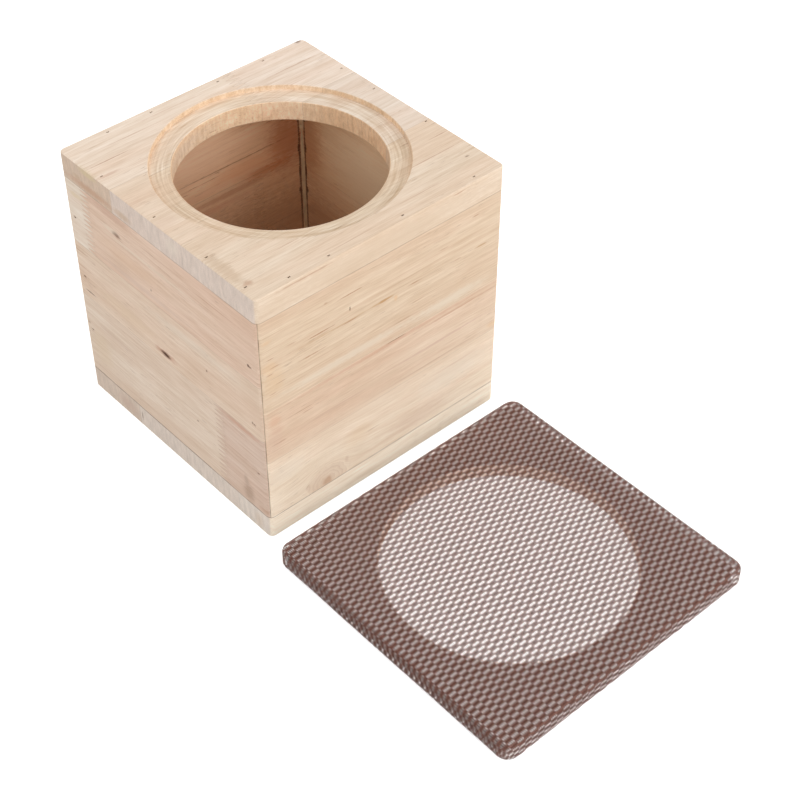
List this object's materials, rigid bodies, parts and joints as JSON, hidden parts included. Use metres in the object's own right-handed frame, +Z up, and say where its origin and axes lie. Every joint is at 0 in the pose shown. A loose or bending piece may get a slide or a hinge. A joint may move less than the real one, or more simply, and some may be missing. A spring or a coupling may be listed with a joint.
{
  "type": "queen cage",
  "caption": "Cube-shaped wooden box of glued finger-jointed boards with a stepped round hole in its top, and a separate square lid with a round mesh-covered window.",
  "frame": {"origin": "centre of the box's underside", "axes": "+Z up along the hole's axis; -Y is the box's front, towards the lid that lies on the ground; +X to the right seen from the front"},
  "size_m": [0.2088, 0.4252, 0.2],
  "materials": {
    "cream_wood": "sanded bare finger-jointed softwood, pale cream",
    "honey_wood": "sanded bare finger-jointed softwood, honey cream with streaks",
    "rose_wood": "sanded bare finger-jointed softwood, pinkish cream",
    "corner_glue": "dried wood glue, dull",
    "brad_steel": "dull wire nails",
    "lid_board": "brown board under the mesh",
    "mesh_cloth": "coarse coated mesh, light weft on brown warp",
    "staple_steel": "zinc-plated staples"
  },
  "bodies": {
    "box": {"back_wall_lower": "rose_wood", "back_wall_middle_long": "rose_wood", "back_wall_middle_short": "rose_wood", "back_wall_upper": "rose_wood", "bottom_board_back": "cream_wood", "bottom_board_centre": "cream_wood", "bottom_board_front": "cream_wood", "bottom_board_middle_long": "cream_wood", "bottom_board_middle_short": "cream_wood", "bottom_brads": "brad_steel", "front_wall_lower": "honey_wood", "front_wall_middle": "honey_wood", "front_wall_upper": "honey_wood", "glue_bead_back_left": "corner_glue", "glue_bead_back_right": "corner_glue", "glue_bead_front_left": "corner_glue", "glue_bead_front_right": "corner_glue", "left_corner_brads": "brad_steel", "left_wall_lower_long": "rose_wood", "left_wall_lower_short": "rose_wood", "left_wall_middle": "rose_wood", "left_wall_upper_long": "rose_wood", "left_wall_upper_short": "rose_wood", "right_corner_brads": "brad_steel", "right_wall_lower": "honey_wood", "right_wall_middle": "honey_wood", "right_wall_upper_long": "honey_wood", "right_wall_upper_short": "honey_wood", "top_board_back_long": "cream_wood", "top_board_back_short": "cream_wood", "top_board_front": "cream_wood", "top_board_middle_left": "cream_wood", "top_board_middle_right": "cream_wood", "top_brads": "brad_steel"},
    "lid": {"lid_mesh": "mesh_cloth", "lid_panel": "lid_board", "lid_staples": "staple_steel"}
  },
  "joints": [
    {"name": "lid_lift", "type": "slide", "parent": "box", "child": "lid", "axis": [0, 0, 1], "range_m": [0, 0.22]}
  ]
}
